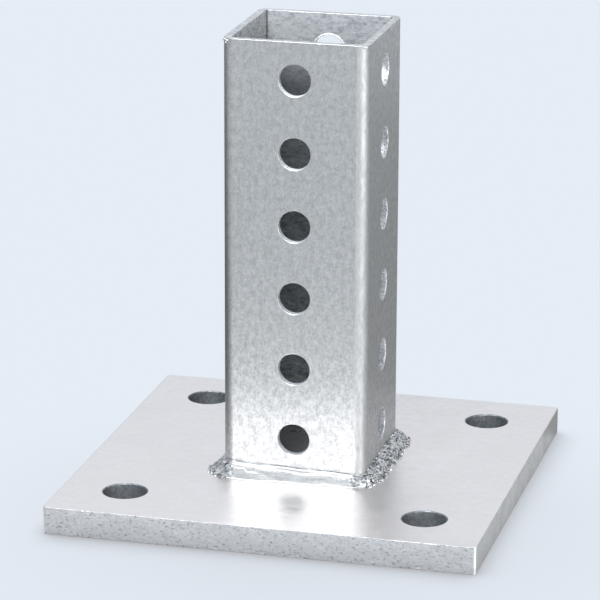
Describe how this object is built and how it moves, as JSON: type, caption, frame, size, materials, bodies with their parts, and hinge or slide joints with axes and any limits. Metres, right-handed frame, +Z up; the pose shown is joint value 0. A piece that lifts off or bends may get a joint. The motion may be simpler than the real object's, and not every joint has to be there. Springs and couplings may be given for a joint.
{
  "type": "column base plate",
  "caption": "Square perforated steel tube standing in the middle of a square steel base plate with bolt holes, fillet welded all round.",
  "frame": {"origin": "centre of the plate's underside, on the surface that it is bolted to", "axes": "+Z up along the tube, -Y towards the front face in the picture, X along the plate's front edge"},
  "size_m": [0.15, 0.15, 0.164],
  "materials": {
    "plated_plate": "zinc plated, satin, with rough cut edges",
    "plated_tube": "zinc plated, satin, fine grain",
    "weld_metal": "zinc plated weld metal, lumpy"
  },
  "bodies": {
    "root": {"base_plate": "plated_plate", "column_tube": "plated_tube", "weld_front": "weld_metal", "weld_right": "weld_metal", "weld_back": "weld_metal", "weld_left": "weld_metal"}
  },
  "joints": []
}
